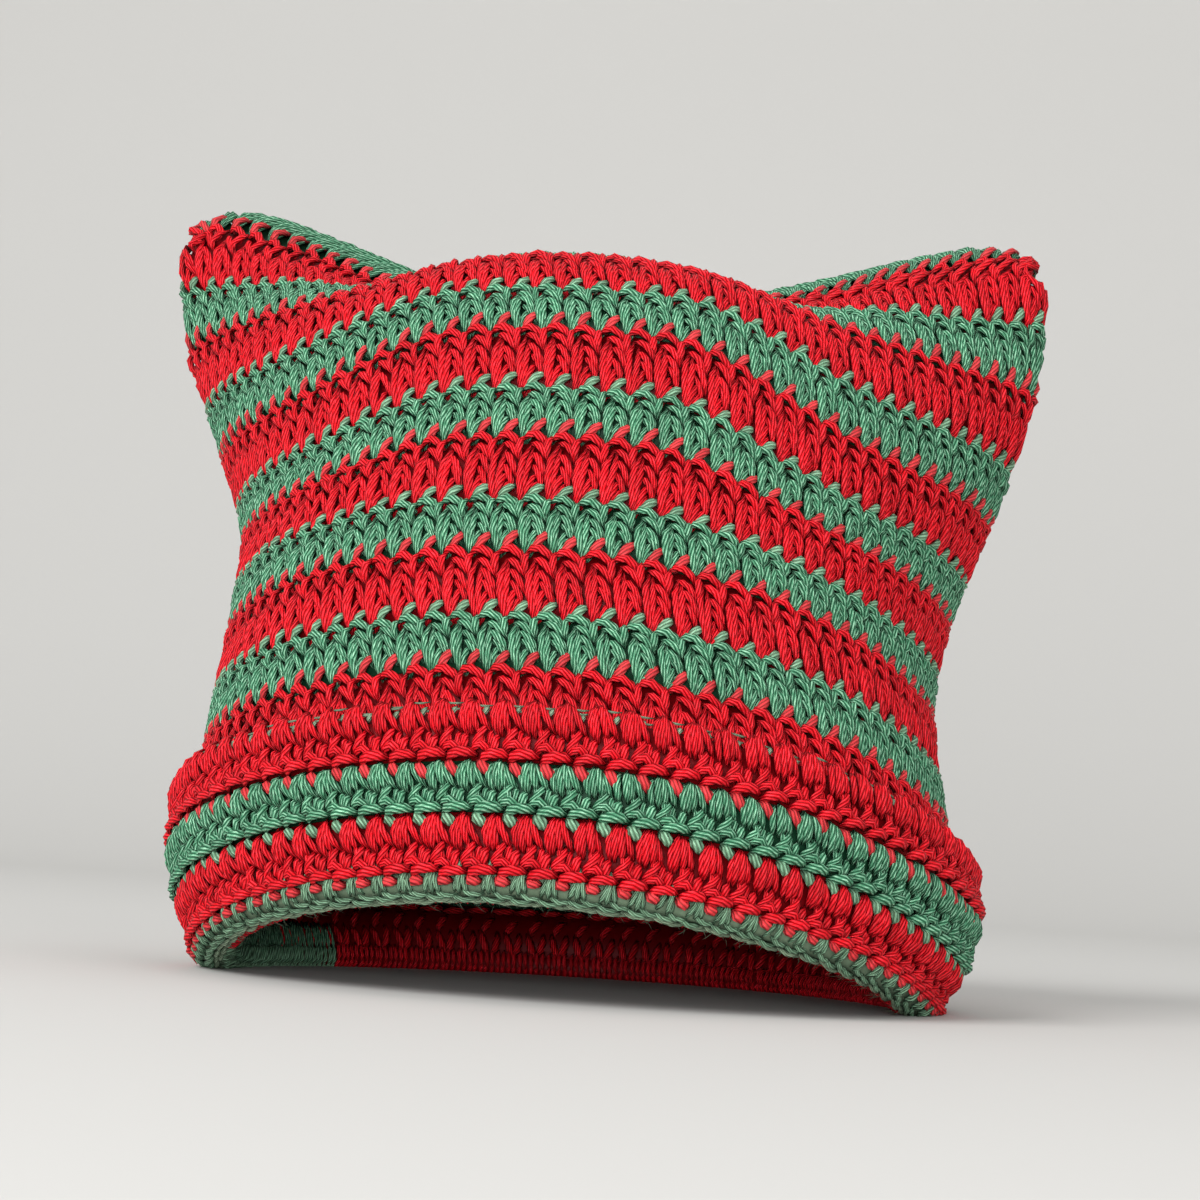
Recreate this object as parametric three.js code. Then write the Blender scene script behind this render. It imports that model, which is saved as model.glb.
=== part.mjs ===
import * as THREE from 'three';

// Cat ear beanie: a striped bag of thick crochet, worked in rounds, with its top edge sewn shut so that
// the two top corners stick out as ears, and its lower edge turned up outside as a cuff.
// Millimetres, +Z up. The face side looks along -Y and the ears point along X.
// The beanie stands by itself on the back and the sides of its fold and leans back, so the front is arched.
// Every round is worked in one colour of yarn and is one closed ring of fabric. Round 1 is the cap at the
// seam. Round 14 reaches down inside to the lowest line of the fold, where round 15 takes over and turns up
// outside. Rounds 16 to 18 go up from it as the cuff.

// Driving dimensions
const head_half_width = 95;
const head_half_depth = 88;
const hat_height = 214;
const fabric_thickness = 5;
const cuff_clearance = 1.5;
const crown_rounds = 14;
const cuff_rounds = 3;
const cuff_round_height = 12.2;
const fold_edge_height = 1.2;
const round_clearance = 0.36;
const red_round_extra = 0.12;
const fold_flatness = 0.8;
const fold_press = 0.2;
const lean_degrees = 17.5;
const lean_line_before_middle = 2;
const rest_blend = 3;
const left_ear_forward = 26;
const right_ear_forward = 16;
const ear_turn_start = 0.6;
const ear_turn_reach = 0.65;
const ear_curl_start = 0.88;
const ear_curl_back = 16;
const crown_sway = 9;
const ear_slit = 0.8;
const ear_crease_depth = 6;
const ear_crease_across = 0.42;
const ear_crease_reach = 0.34;
const ear_crease_up = 0.88;
const ear_crease_height = 0.14;
const left_flank_sag = 8;
const right_flank_sag = 13;
const flank_sag_across = 0.74;
const flank_sag_reach = 0.48;
const flank_sag_up = 0.66;
const flank_sag_height = 0.3;
const seam_ridge = 4;
const edge_rounding = 1.2;

// How finely the curved faces are cut
const columns = 44;
const rows_in_round = 2;
const fold_turn_steps = 3;

// Sections of the hollow, from the fold (up 0) to the seam (up 1).
// half_width is a share of head_half_width. front and back are shares of head_half_depth, measured from the
// middle plane. The heights are shares of hat_height, at the left side, middle front and middle back.
// right_lift adds height at the right side only, sway is a share of crown_sway to the left.
// side_form is 0.5 for an ellipse and grows as the sides are pinched. dip_form is the same for the heights.
const sections = [
  { up: 0.000, half_width: 0.91, front: 0.943, back: 0.920, side_height: 0.014, front_height: 0.015,
    back_height: 0.021, right_lift: 0.000, sway: 0.15, side_form: 0.50, dip_form: 1.0 },
  { up: 0.104, half_width: 1.00, front: 1.000, back: 0.955, side_height: 0.117, front_height: 0.126,
    back_height: 0.126, right_lift: -0.015, sway: 0.20, side_form: 0.50, dip_form: 1.0 },
  { up: 0.226, half_width: 0.99, front: 1.023, back: 0.966, side_height: 0.243, front_height: 0.254,
    back_height: 0.248, right_lift: -0.026, sway: 0.45, side_form: 0.50, dip_form: 1.0 },
  { up: 0.389, half_width: 0.95, front: 1.023, back: 0.933, side_height: 0.416, front_height: 0.420,
    back_height: 0.415, right_lift: -0.028, sway: 0.70, side_form: 0.52, dip_form: 1.0 },
  { up: 0.542, half_width: 0.98, front: 0.989, back: 0.850, side_height: 0.582, front_height: 0.579,
    back_height: 0.565, right_lift: -0.026, sway: 0.55, side_form: 0.56, dip_form: 1.0 },
  { up: 0.694, half_width: 1.11, front: 0.900, back: 0.670, side_height: 0.742, front_height: 0.739,
    back_height: 0.706, right_lift: -0.020, sway: 0.70, side_form: 0.66, dip_form: 1.0 },
  { up: 0.796, half_width: 1.20, front: 0.790, back: 0.450, side_height: 0.846, front_height: 0.814,
    back_height: 0.786, right_lift: -0.006, sway: 0.85, side_form: 0.90, dip_form: 1.0 },
  { up: 0.898, half_width: 1.23, front: 0.560, back: 0.140, side_height: 0.960, front_height: 0.832,
    back_height: 0.828, right_lift: 0.014, sway: 1.00, side_form: 1.25, dip_form: 1.0 },
  { up: 0.959, half_width: 1.21, front: 0.410, back: -0.060, side_height: 1.008, front_height: 0.840,
    back_height: 0.838, right_lift: 0.008, sway: 1.00, side_form: 1.40, dip_form: 1.4 },
  { up: 1.000, half_width: 1.12, front: 0.290, back: -0.250, side_height: 1.008, front_height: 0.838,
    back_height: 0.834, right_lift: 0.000, sway: 1.00, side_form: 1.50, dip_form: 1.7 },
];

// Sizes that follow
const lean = THREE.MathUtils.degToRad(lean_degrees);
const fold_radius = fabric_thickness + cuff_clearance / 2;
const cuff_inner = fabric_thickness + cuff_clearance;
const cuff_outer = cuff_inner + fabric_thickness;
const fold_drop = fold_radius * fold_flatness;
const rest_height = fold_drop - fold_press;
const half_fold_gap = round_clearance / 2 / fold_radius;
const fold_edge = fold_edge_height / hat_height;
const cuff_step = cuff_round_height / hat_height;
const half_clearance = round_clearance / 2 / hat_height;

// A smooth curve through one column of the section table
function along_sections(column, up) {
  const last = sections.length - 1;
  let i = 0;
  while (i < last - 1 && up > sections[i + 1].up) {
    i += 1;
  }
  const slope = (k) => {
    const before = sections[Math.max(k - 1, 0)];
    const after = sections[Math.min(k + 1, last)];
    return (after[column] - before[column]) / (after.up - before.up);
  };
  const step = sections[i + 1].up - sections[i].up;
  const t = (up - sections[i].up) / step;
  const start = sections[i][column] * (1 + 2 * t) * (1 - t) ** 2;
  const end = sections[i + 1][column] * (3 - 2 * t) * t ** 2;
  const bends = slope(i) * t * (1 - t) ** 2 - slope(i + 1) * (1 - t) * t ** 2;
  return start + end + bends * step;
}

function clamped(share) {
  return THREE.MathUtils.clamp(share, 0, 1);
}

// A smooth hump of height 1 round one place, gone at the distance called reach from it
function hump(place, middle, reach) {
  return Math.max(1 - ((place - middle) / reach) ** 2, 0) ** 2;
}

// How far an ear is turned back at a share of the half width: it leans forward more towards the seam,
// and its edge curls back again
function ear_turn(across, up) {
  const forward = across < 0 ? left_ear_forward : right_ear_forward;
  const rise = clamped((up - ear_turn_start) / (1 - ear_turn_start)) ** 1.5;
  const curl = clamped((up - ear_curl_start) / (1 - ear_curl_start)) ** 2;
  const reach = clamped((Math.abs(across) - 1 + ear_turn_reach) / ear_turn_reach) ** 2;
  return reach * (curl * ear_curl_back - rise * forward);
}

// How deep the crown is creased beside an ear, where its corner folds away from the domed top
function ear_crease(across, up) {
  const beside = hump(Math.abs(across), ear_crease_across, ear_crease_reach);
  return ear_crease_depth * beside * hump(up, ear_crease_up, ear_crease_height);
}

// How far the rounds hang down at the flanks under the ears
function flank_sag(across, up) {
  const sag = across < 0 ? left_flank_sag : right_flank_sag;
  const beside = hump(Math.abs(across), flank_sag_across, flank_sag_reach);
  return sag * beside * hump(up, flank_sag_up, flank_sag_height);
}

// The hollow's surface before it settles on the surface below. Angle 0 is the right ear, a quarter is the back.
function leaning_point(angle, up) {
  const across = Math.cos(angle);
  const inward = Math.abs(Math.sin(angle));
  const at_back = Math.sin(angle) > 0;
  const bulge = inward ** (2 * along_sections('side_form', up));
  const depth = along_sections(at_back ? 'back' : 'front', up) * head_half_depth * bulge + ear_slit * inward;
  const side_height = along_sections('side_height', up) + along_sections('right_lift', up) * (across + 1) / 2;
  const middle_height = along_sections(at_back ? 'back_height' : 'front_height', up);
  const dip = inward ** (2 * along_sections('dip_form', up));
  const x = along_sections('half_width', up) * head_half_width * across - along_sections('sway', up) * crown_sway;
  const y = (at_back ? depth : -depth) + ear_turn(across, up);
  const smooth_height = (side_height + (middle_height - side_height) * dip) * hat_height;
  const height = smooth_height - ear_crease(across, up) - flank_sag(across, up);
  return new THREE.Vector3(
    x,
    y * Math.cos(lean) + height * Math.sin(lean),
    height * Math.cos(lean) - (lean_line_before_middle + y) * Math.sin(lean),
  );
}

// The hollow's surface as it rests: the back of the rim is lifted to the surface and the fabric above follows
function inside_point(angle, up) {
  const point = leaning_point(angle, up);
  const below = rest_height - leaning_point(angle, 0).z;
  const lift = (below + Math.sqrt(below ** 2 + rest_blend ** 2)) / 2;
  point.z += lift * (1 - up);
  return point;
}

function up_direction(angle, up) {
  const small = 0.004;
  const low = Math.max(up - small, 0);
  const high = Math.min(up + small, 1);
  return inside_point(angle, high).sub(inside_point(angle, low)).normalize();
}

function outward_direction(angle, up) {
  const small = 0.01;
  const around = inside_point(angle + small, up).sub(inside_point(angle - small, up));
  return around.cross(up_direction(angle, up)).normalize();
}

// The fabric is pressed flat where it would reach below the surface it rests on
function pressed_flat(point) {
  point.z = Math.max(point.z, 0);
  return point;
}

function fabric_point(angle, up, outward) {
  return pressed_flat(inside_point(angle, up).addScaledVector(outward_direction(angle, up), outward));
}

function column_angle(column) {
  return (column / columns) * 2 * Math.PI;
}

// A closed ring: the same closed outline of points at every column, joined column to column.
// The last face of an outline is split along its other diagonal, so that it lies flat on the round below it.
function ring_geometry(outline_at) {
  const outlines = [];
  for (let column = 0; column < columns; column += 1) {
    outlines.push(outline_at(column_angle(column)));
  }
  const count = outlines[0].length;
  const positions = outlines.flat().flatMap((point) => [point.x, point.y, point.z]);
  const faces = [];
  for (let column = 0; column < columns; column += 1) {
    const next = (column + 1) % columns;
    for (let i = 0; i < count; i += 1) {
      const j = (i + 1) % count;
      const a = column * count + i;
      const b = next * count + i;
      const c = next * count + j;
      const d = column * count + j;
      if (j === 0) {
        faces.push(a, d, b, b, d, c);
      } else {
        faces.push(a, c, b, a, d, c);
      }
    }
  }
  const geometry = new THREE.BufferGeometry();
  geometry.setAttribute('position', new THREE.Float32BufferAttribute(positions, 3));
  geometry.setIndex(faces);
  geometry.computeVertexNormals();
  return geometry;
}

// One round of the crown or cuff: up the inner face and down the outer face of a ring of fabric
function round_geometry(low, high, inner, outer) {
  return ring_geometry((angle) => {
    const outline = [];
    for (let row = 0; row <= rows_in_round; row += 1) {
      outline.push(fabric_point(angle, low + ((high - low) * row) / rows_in_round, inner));
    }
    for (let row = rows_in_round; row >= 0; row -= 1) {
      outline.push(fabric_point(angle, low + ((high - low) * row) / rows_in_round, outer));
    }
    return outline;
  });
}

// The last round of the cuff, whose upper edge is rounded
function edge_geometry(low, high, inner, outer) {
  const rounding = edge_rounding / hat_height;
  return ring_geometry((angle) => [
    fabric_point(angle, low, inner),
    fabric_point(angle, high - rounding, inner),
    fabric_point(angle, high, inner + edge_rounding),
    fabric_point(angle, high, outer - edge_rounding),
    fabric_point(angle, high - rounding, outer),
    fabric_point(angle, (low + high) / 2, outer),
    fabric_point(angle, low, outer),
  ]);
}

// The outer face of the fold at the rim, from one turn to another: turn 0 is the inside of the crown and half a
// circle is the outside of the cuff.
function fold_arc(angle, from_turn, to_turn) {
  const rim = inside_point(angle, 0);
  const outward = outward_direction(angle, 0);
  const down = up_direction(angle, 0).negate();
  const points = [];
  for (let step = 0; step <= fold_turn_steps; step += 1) {
    const turn = from_turn + ((to_turn - from_turn) * step) / fold_turn_steps;
    const point = rim.clone();
    point.addScaledVector(outward, fold_radius * (1 - Math.cos(turn)));
    point.addScaledVector(down, fold_drop * Math.sin(turn));
    points.push(pressed_flat(point));
  }
  return points;
}

// The last round of the crown, which ends in the inner half of the fold
function inner_fold_geometry(high) {
  return ring_geometry((angle) => [
    ...fold_arc(angle, Math.PI / 2 - half_fold_gap, 0),
    fabric_point(angle, high / 2, 0),
    fabric_point(angle, high, 0),
    fabric_point(angle, high, fabric_thickness),
    fabric_point(angle, high / 2, fabric_thickness),
    fabric_point(angle, 0, fabric_thickness),
  ]);
}

// The round of the fold, which is its outer half and the lowest edge of the cuff
function outer_fold_geometry(high) {
  return ring_geometry((angle) => [
    fabric_point(angle, 0, cuff_inner),
    fabric_point(angle, high, cuff_inner),
    fabric_point(angle, high, cuff_outer),
    ...fold_arc(angle, Math.PI, Math.PI / 2 + half_fold_gap),
  ]);
}

// The cap: the first round, closed over the seam that runs from ear to ear
function cap_geometry(low) {
  const positions = [];
  const faces = [];
  const add = (point) => {
    positions.push(point.x, point.y, point.z);
    return positions.length / 3 - 1;
  };
  const rings = [];
  for (const outward of [0, fabric_thickness]) {
    for (let row = 0; row <= rows_in_round; row += 1) {
      const up = low + ((1 - low) * row) / rows_in_round;
      const ring = [];
      for (let column = 0; column < columns; column += 1) {
        ring.push(add(fabric_point(column_angle(column), up, outward)));
      }
      rings.push(ring);
    }
  }
  const join = (lower, upper, flipped) => {
    for (let column = 0; column < columns; column += 1) {
      const next = (column + 1) % columns;
      const quad = [lower[column], lower[next], upper[next], upper[column]];
      if (flipped) {
        quad.reverse();
      }
      faces.push(quad[0], quad[1], quad[2], quad[0], quad[2], quad[3]);
    }
  };
  const outer = rows_in_round + 1;
  for (let row = 0; row < rows_in_round; row += 1) {
    join(rings[row], rings[row + 1], true);
    join(rings[outer + row], rings[outer + row + 1], false);
  }
  join(rings[0], rings[outer], false);

  // Front and back are joined across the seam, along a ridge outside and straight across inside
  const half = columns / 2;
  const inside_ring = rings[rows_in_round];
  const outside_ring = rings[outer + rows_in_round];
  const across_seam = (left, right, flipped) => {
    for (let column = 0; column < half; column += 1) {
      const quad = [left[column], right[column], right[column + 1], left[column + 1]];
      if (flipped) {
        quad.reverse();
      }
      if (quad[0] !== quad[1]) {
        faces.push(quad[0], quad[1], quad[2]);
      }
      if (quad[2] !== quad[3]) {
        faces.push(quad[0], quad[2], quad[3]);
      }
    }
  };
  const back_of = (ring) => Array.from({ length: half + 1 }, (_, column) => ring[column]);
  const front_of = (ring) => Array.from({ length: half + 1 }, (_, column) => ring[(columns - column) % columns]);
  const ridge = Array.from({ length: half + 1 }, (_, column) => {
    if (column === 0 || column === half) {
      return outside_ring[column];
    }
    const back = inside_point(column_angle(column), 1);
    const front = inside_point(column_angle(columns - column), 1);
    const along = up_direction(column_angle(column), 1).add(up_direction(column_angle(columns - column), 1));
    const rise = along.z > 0 ? along.normalize() : new THREE.Vector3(0, 0, 1);
    return add(back.add(front).multiplyScalar(0.5).addScaledVector(rise, seam_ridge));
  });
  across_seam(front_of(outside_ring), ridge, false);
  across_seam(ridge, back_of(outside_ring), false);
  across_seam(front_of(inside_ring), back_of(inside_ring), true);

  const geometry = new THREE.BufferGeometry();
  geometry.setAttribute('position', new THREE.Float32BufferAttribute(positions, 3));
  geometry.setIndex(faces);
  geometry.computeVertexNormals();
  return geometry;
}

// Yarns by turns: the rounds with an even number are red, and those with an odd number are green
const yarns = [
  new THREE.MeshStandardMaterial({ name: 'red_yarn', color: 0xd8233a, roughness: 0.85, metalness: 0 }),
  new THREE.MeshStandardMaterial({ name: 'green_yarn', color: 0x5fa57d, roughness: 0.85, metalness: 0 }),
];

const beanie = new THREE.Group();

function add_round(name, number, geometry) {
  const mesh = new THREE.Mesh(geometry, yarns[number % yarns.length]);
  mesh.name = name;
  beanie.add(mesh);
}

function numbered(place, number) {
  return `${place}_${String(number).padStart(2, '0')}`;
}

// The rounds of red yarn are a little taller than the green ones
function round_share(number) {
  return number % 2 === 0 ? 1 + red_round_extra : 1 - red_round_extra;
}

// Crown, from its last round at the fold up to the cap
const round_numbers = Array.from({ length: crown_rounds }, (_, index) => crown_rounds - index);
const all_shares = round_numbers.reduce((sum, number) => sum + round_share(number), 0);
let edge = fold_edge;
for (const number of round_numbers) {
  const low = edge + half_clearance;
  edge += ((1 - fold_edge) * round_share(number)) / all_shares;
  const high = edge - half_clearance;
  let geometry = round_geometry(low, high, 0, fabric_thickness);
  if (number === crown_rounds) {
    geometry = inner_fold_geometry(high);
  } else if (number === 1) {
    geometry = cap_geometry(low);
  }
  add_round(numbered('crown_round', number), number, geometry);
}

// Fold, and the cuff that goes up from it outside the crown
const fold_number = crown_rounds + 1;
add_round('fold_round', fold_number, outer_fold_geometry(fold_edge - half_clearance));
edge = fold_edge;
for (let step = 1; step <= cuff_rounds; step += 1) {
  const low = edge + half_clearance;
  edge += cuff_step * round_share(fold_number + step);
  const shape = step === cuff_rounds ? edge_geometry : round_geometry;
  const geometry = shape(low, edge - half_clearance, cuff_inner, cuff_outer);
  add_round(numbered('cuff_round', step), fold_number + step, geometry);
}

// The origin is on the surface below, under the middle of the beanie's outline
const outline = new THREE.Box3().setFromObject(beanie);
const middle = outline.getCenter(new THREE.Vector3());
beanie.position.set(-middle.x, -middle.y, -outline.min.z);

export default beanie;
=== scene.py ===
import math

import bpy
import numpy as np
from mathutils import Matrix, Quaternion, Vector


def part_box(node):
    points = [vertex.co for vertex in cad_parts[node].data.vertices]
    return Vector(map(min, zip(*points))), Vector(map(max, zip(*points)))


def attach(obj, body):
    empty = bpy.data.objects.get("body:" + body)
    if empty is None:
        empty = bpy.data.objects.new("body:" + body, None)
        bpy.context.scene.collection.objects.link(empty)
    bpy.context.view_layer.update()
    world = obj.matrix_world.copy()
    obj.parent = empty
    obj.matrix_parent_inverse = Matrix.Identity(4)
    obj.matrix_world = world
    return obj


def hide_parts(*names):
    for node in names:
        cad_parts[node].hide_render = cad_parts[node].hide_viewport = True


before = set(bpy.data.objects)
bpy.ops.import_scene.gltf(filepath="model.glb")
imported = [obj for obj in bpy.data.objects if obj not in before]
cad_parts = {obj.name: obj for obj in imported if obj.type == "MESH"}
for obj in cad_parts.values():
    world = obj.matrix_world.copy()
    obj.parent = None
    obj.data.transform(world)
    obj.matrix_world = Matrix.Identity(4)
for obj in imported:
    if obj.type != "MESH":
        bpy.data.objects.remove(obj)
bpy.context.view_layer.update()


# Crown rounds 2 to 13
# Each is one round of tall crochet stitches in thick soft yarn of one colour, worked into the round below it.
# The right side, with its V feet and slanting wraps, is outside, and the arches of the wrong side are inside.

head_half_width = 95.0
head_half_depth = 88.0
hat_height = 214.0
fabric_thickness = 5.0
cuff_clearance = 1.5
crown_rounds = 14
cuff_round_height = 12.2
fold_edge_height = 1.2
round_clearance = 0.36
red_round_extra = 0.12
fold_flatness = 0.8
fold_press = 0.2
lean = math.radians(17.5)
lean_line_before_middle = 2.0
rest_blend = 3.0
left_ear_forward = 26.0
right_ear_forward = 16.0
ear_turn_start = 0.6
ear_turn_reach = 0.65
ear_curl_start = 0.88
left_ear_curl_back = 16.0
right_ear_curl_back = 20.0
crown_sway = 9.0
ear_slit = 0.8
ear_crease_depth = 6.0
ear_crease_across = 0.42
ear_crease_reach = 0.34
ear_crease_up = 0.88
ear_crease_height = 0.14
left_flank_sag = 8.0
right_flank_sag = 13.0
flank_sag_across = 0.74
flank_sag_reach = 0.48
flank_sag_up = 0.66
flank_sag_height = 0.3
ear_corner_start = 0.86
ear_corner_drop = 10.0
ear_corner_up = 0.84
ear_corner_form = 0.98

fold_radius = fabric_thickness + cuff_clearance / 2
cuff_inner = fabric_thickness + cuff_clearance
rest_height = fold_radius * fold_flatness - fold_press
fold_edge = fold_edge_height / hat_height
cuff_step = cuff_round_height / hat_height
half_clearance = round_clearance / 2 / hat_height

stitches = 82
stitch_shift = 0.47
millimetre = 0.001
level_step = 0.004
angle_step = 0.03
yarn_middle_out = 4.5
table_rows = 61
table_columns = 1441

section_columns = (
    "up", "half_width", "front", "back", "side_height", "front_height",
    "back_height", "right_lift", "sway", "side_form", "dip_form",
)
sections = np.array([
    [0.000, 0.91, 0.943, 0.920, 0.014, 0.015, 0.021, 0.000, 0.15, 0.50, 1.0],
    [0.104, 1.00, 1.000, 0.955, 0.117, 0.126, 0.126, -0.015, 0.20, 0.50, 1.0],
    [0.226, 0.99, 1.023, 0.966, 0.243, 0.254, 0.248, -0.026, 0.45, 0.50, 1.0],
    [0.389, 0.95, 1.023, 0.933, 0.416, 0.420, 0.415, -0.028, 0.70, 0.52, 1.0],
    [0.542, 0.98, 0.989, 0.850, 0.582, 0.579, 0.565, -0.026, 0.55, 0.56, 1.0],
    [0.694, 1.11, 0.900, 0.670, 0.742, 0.739, 0.706, -0.020, 0.70, 0.66, 1.0],
    [0.796, 1.20, 0.790, 0.450, 0.846, 0.814, 0.786, -0.006, 0.85, 0.90, 1.0],
    [0.898, 1.23, 0.560, 0.140, 0.960, 0.832, 0.828, 0.014, 1.00, 1.25, 1.0],
    [0.959, 1.21, 0.410, -0.060, 1.008, 0.840, 0.838, 0.008, 1.00, 1.40, 1.4],
    [1.000, 1.12, 0.290, -0.250, 1.008, 0.838, 0.834, 0.000, 1.00, 1.50, 1.7],
])

random = np.random.default_rng(20)


def along_sections(column, up):
    """Cubic curve through one column of the table: each piece joins two rows, and its slope at a row is the
    rise between the rows on either side of it."""
    knots = sections[:, 0]
    values = sections[:, section_columns.index(column)]
    before = np.maximum(np.arange(len(knots)) - 1, 0)
    after = np.minimum(np.arange(len(knots)) + 1, len(knots) - 1)
    slopes = (values[after] - values[before]) / (knots[after] - knots[before])
    i = np.clip(np.searchsorted(knots, up) - 1, 0, len(knots) - 2)
    step = knots[i + 1] - knots[i]
    t = (up - knots[i]) / step
    start = values[i] * (1 + 2 * t) * (1 - t) ** 2
    end = values[i + 1] * (3 - 2 * t) * t ** 2
    bends = slopes[i] * t * (1 - t) ** 2 - slopes[i + 1] * (1 - t) * t ** 2
    return start + end + bends * step


def hump(place, middle, reach):
    """A smooth hump of height 1 round one place, gone at the distance called reach from it."""
    return np.maximum(1 - ((place - middle) / reach) ** 2, 0) ** 2


def leaning_point(angle, up):
    """A point of the hollow before it settles: a superellipse in each section, dipped between its sides,
    with its ears turned, curled, creased and rounded off and its flanks sagging, and then leaned back."""
    across = np.cos(angle)
    inward = np.abs(np.sin(angle))
    at_back = np.sin(angle) > 0
    bulge = inward ** (2 * along_sections("side_form", up))
    flat = np.where(at_back, along_sections("back", up), along_sections("front", up))
    depth = flat * head_half_depth * bulge + ear_slit * inward
    side = along_sections("side_height", up) + along_sections("right_lift", up) * (across + 1) / 2
    middle = np.where(at_back, along_sections("back_height", up), along_sections("front_height", up))
    dip = inward ** (2 * along_sections("dip_form", up))
    x = along_sections("half_width", up) * head_half_width * across - along_sections("sway", up) * crown_sway

    forward = np.where(across < 0, left_ear_forward, right_ear_forward)
    rise = np.clip((up - ear_turn_start) / (1 - ear_turn_start), 0, 1) ** 1.5
    curl = np.clip((up - ear_curl_start) / (1 - ear_curl_start), 0, 1) ** 2
    reach = np.clip((np.abs(across) - 1 + ear_turn_reach) / ear_turn_reach, 0, 1) ** 2
    back = np.where(across < 0, left_ear_curl_back, right_ear_curl_back)
    turn = reach * (curl * back - rise * forward)
    beside = hump(np.abs(across), ear_crease_across, ear_crease_reach)
    crease = ear_crease_depth * beside * hump(up, ear_crease_up, ear_crease_height)
    flank = hump(np.abs(across), flank_sag_across, flank_sag_reach)
    sag = np.where(across < 0, left_flank_sag, right_flank_sag)
    hang = sag * flank * hump(up, flank_sag_up, flank_sag_height)
    outer = np.clip((np.abs(across) - ear_corner_start) / (1 - ear_corner_start), 0, 1)
    corner = 1 - np.sqrt(1 - ear_corner_form * outer ** 2)
    drop = ear_corner_drop * corner * np.clip((up - ear_corner_up) / (1 - ear_corner_up), 0, 1)

    y = np.where(at_back, depth, -depth) + turn
    height = (side + (middle - side) * dip) * hat_height - crease - hang - drop
    return np.stack([
        x,
        y * math.cos(lean) + height * math.sin(lean),
        height * math.cos(lean) - (lean_line_before_middle + y) * math.sin(lean),
    ], axis=-1)


def hollow_point(angle, up):
    """A point of the hollow as it rests: where the rim would sink it is lifted by a smooth step, and the
    fabric above follows by the share that is left up to the seam."""
    angle, up = np.broadcast_arrays(angle, up)
    point = leaning_point(angle, up)
    below = rest_height - leaning_point(angle, np.zeros_like(up))[..., 2]
    point[..., 2] += (below + np.sqrt(below ** 2 + rest_blend ** 2)) / 2 * (1 - up)
    return point


def unit(vectors):
    """Each vector divided by its length."""
    return vectors / np.maximum(np.linalg.norm(vectors, axis=-1, keepdims=True), 1e-9)


def fabric(angle, up):
    """Point, upward direction and outward direction of the hollow, both directions from small differences."""
    up = np.clip(up, 0, 1)
    high = np.minimum(up + level_step, 1)
    low = np.maximum(up - level_step, 0)
    upward = unit(hollow_point(angle, high) - hollow_point(angle, low))
    around = hollow_point(angle + angle_step, up) - hollow_point(angle - angle_step, up)
    return hollow_point(angle, up), upward, unit(np.cross(around, upward))


def share_table(rows, columns):
    """Angles at equal steps of the distance round the fabric, for sections from the fold to the seam."""
    ups = np.linspace(0, 1, rows)
    angles = np.linspace(0, 2 * math.pi, 2 * columns)
    table = np.empty((rows, columns))
    for row, up in enumerate(ups):
        point, _, outward = fabric(angles, np.full_like(angles, up))
        yarn_middle = point + outward * yarn_middle_out
        steps = np.linalg.norm(np.diff(yarn_middle, axis=0), axis=1)
        distance = np.concatenate([[0], np.cumsum(steps)])
        table[row] = np.interp(np.linspace(0, distance[-1], columns), distance, angles)
    return table


angle_table = share_table(table_rows, table_columns)


def angle_at(share, up):
    """The angle at a share of the way round, read between the four nearest values of the table."""
    whole = np.floor(share)
    column = (share - whole) * (angle_table.shape[1] - 1)
    row = np.clip(up, 0, 1) * (angle_table.shape[0] - 1)
    i = np.minimum(row.astype(int), angle_table.shape[0] - 2)
    j = np.minimum(column.astype(int), angle_table.shape[1] - 2)
    a = row - i
    b = column - j
    lower = angle_table[i, j] * (1 - b) + angle_table[i, j + 1] * b
    upper = angle_table[i + 1, j] * (1 - b) + angle_table[i + 1, j + 1] * b
    return lower * (1 - a) + upper * a + 2 * math.pi * whole


def round_share(number):
    """How tall a round is beside the others: the red rounds are a little taller than the green ones."""
    return 1 + red_round_extra if number % 2 == 0 else 1 - red_round_extra


round_shares = [round_share(number) for number in range(1, crown_rounds + 1)]


def crown_span(number):
    """The lower edge of a crown round and its height, both as shares of the way up."""
    below = sum(round_shares[number:])
    scale = (1 - fold_edge) / sum(round_shares)
    return fold_edge + below * scale, round_shares[number - 1] * scale


def frame_shift(node, number, columns):
    """How far the frame's origin is from the hat's own: the corner of one crown round's solid less the same
    corner worked out from the section table."""
    low, height = crown_span(number)
    angles = np.arange(columns) / columns * 2 * math.pi
    ups = np.linspace(low + half_clearance, low + height - half_clearance, 3)[:, None]
    point, _, outward = fabric(np.broadcast_to(angles, (3, columns)), np.broadcast_to(ups, (3, columns)))
    both = np.concatenate([point, point + outward * fabric_thickness])
    return np.array(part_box(node)[0]) - both.reshape(-1, 3).min(axis=0) * millimetre


origin = frame_shift("crown_round_07", 7, 44)


def smooth_path(rows, rings):
    """Evenly spaced points of a curve through the rows: each piece is a cubic whose slope at a row is half
    the step between the rows on either side of it."""
    rows = np.array(rows, dtype=float)
    last = len(rows) - 1
    t = np.linspace(0, last, rings)
    i = np.minimum(t.astype(int), last - 1)
    f = (t - i)[:, None]
    before = rows[np.maximum(i - 1, 0)]
    after = rows[np.minimum(i + 2, last)]
    slope_start = (rows[i + 1] - before) / 2
    slope_end = (after - rows[i]) / 2
    start = rows[i] * (1 + 2 * f) * (1 - f) ** 2 + slope_start * f * (1 - f) ** 2
    end = rows[i + 1] * (3 - 2 * f) * f ** 2 - slope_end * (1 - f) * f ** 2
    return start + end


cell_wander = (0.025, 0.012, 0.14)
cell_swell = 0.05
end_narrowing = 0.55
under_shade = 0.45
end_shade = 0.5
ply_start_spread = 40


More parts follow.
